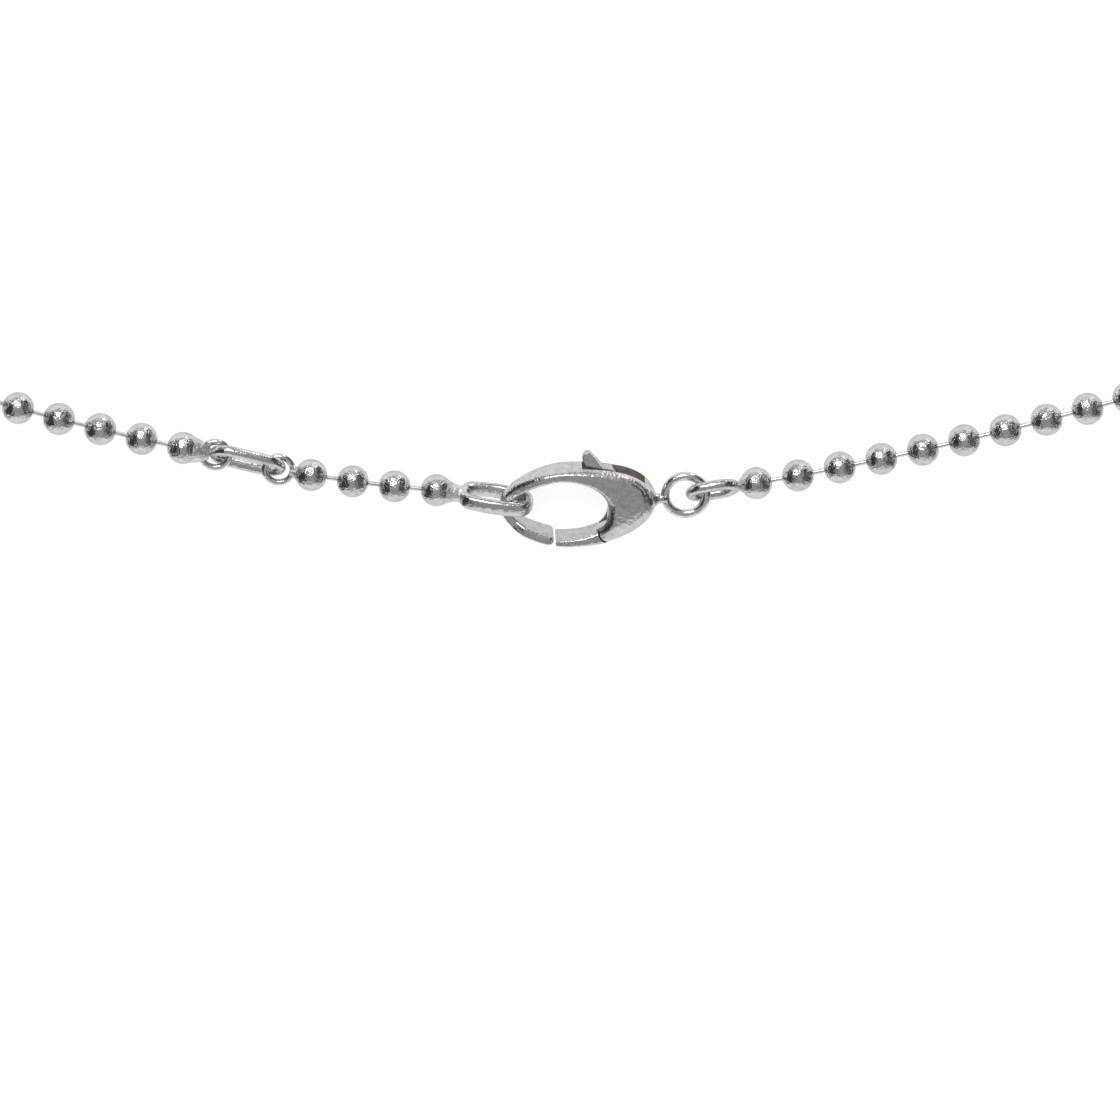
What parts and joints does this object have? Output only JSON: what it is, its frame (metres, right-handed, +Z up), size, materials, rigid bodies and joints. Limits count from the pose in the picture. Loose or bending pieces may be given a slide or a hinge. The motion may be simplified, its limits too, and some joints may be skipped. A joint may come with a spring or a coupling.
{
  "type": "ball chain necklace",
  "caption": "Silver ball chain necklace laid out as a loop, with a lobster clasp and a plain oval link as its second, shorter clasp point.",
  "frame": {"origin": "on the surface that the necklace lies on, under the middle of the loop's bounding box", "axes": "+X along the clasp from its hook to its tail ring, +Y from the clasp across the loop to the side opposite it, +Z up"},
  "size_m": [0.1748, 0.1149, 0.004],
  "materials": {
    "chain_silver": "polished silver with light handling wear",
    "link_silver": "polished silver wire",
    "clasp_silver": "polished cast silver, finely brushed inside the hook"
  },
  "bodies": {
    "necklace": {"chain_long": "chain_silver", "chain_short": "chain_silver", "long_chain_eye": "chain_silver", "short_chain_eye": "chain_silver", "station_link": "link_silver", "hook_link": "link_silver", "tail_link": "link_silver", "clasp_body": "clasp_silver", "clasp_pin": "clasp_silver"},
    "lever": {"clasp_lever": "clasp_silver"}
  },
  "joints": [
    {"name": "lever_hinge", "type": "hinge", "parent": "necklace", "child": "lever", "pos_m": [0.00507, -0.05553, 0.00187], "axis": [-0.0262, 0, -0.9997], "range_deg": [0, 26], "stiffness_Nm_per_rad": 0.0004, "springref_deg": -11.46}
  ]
}
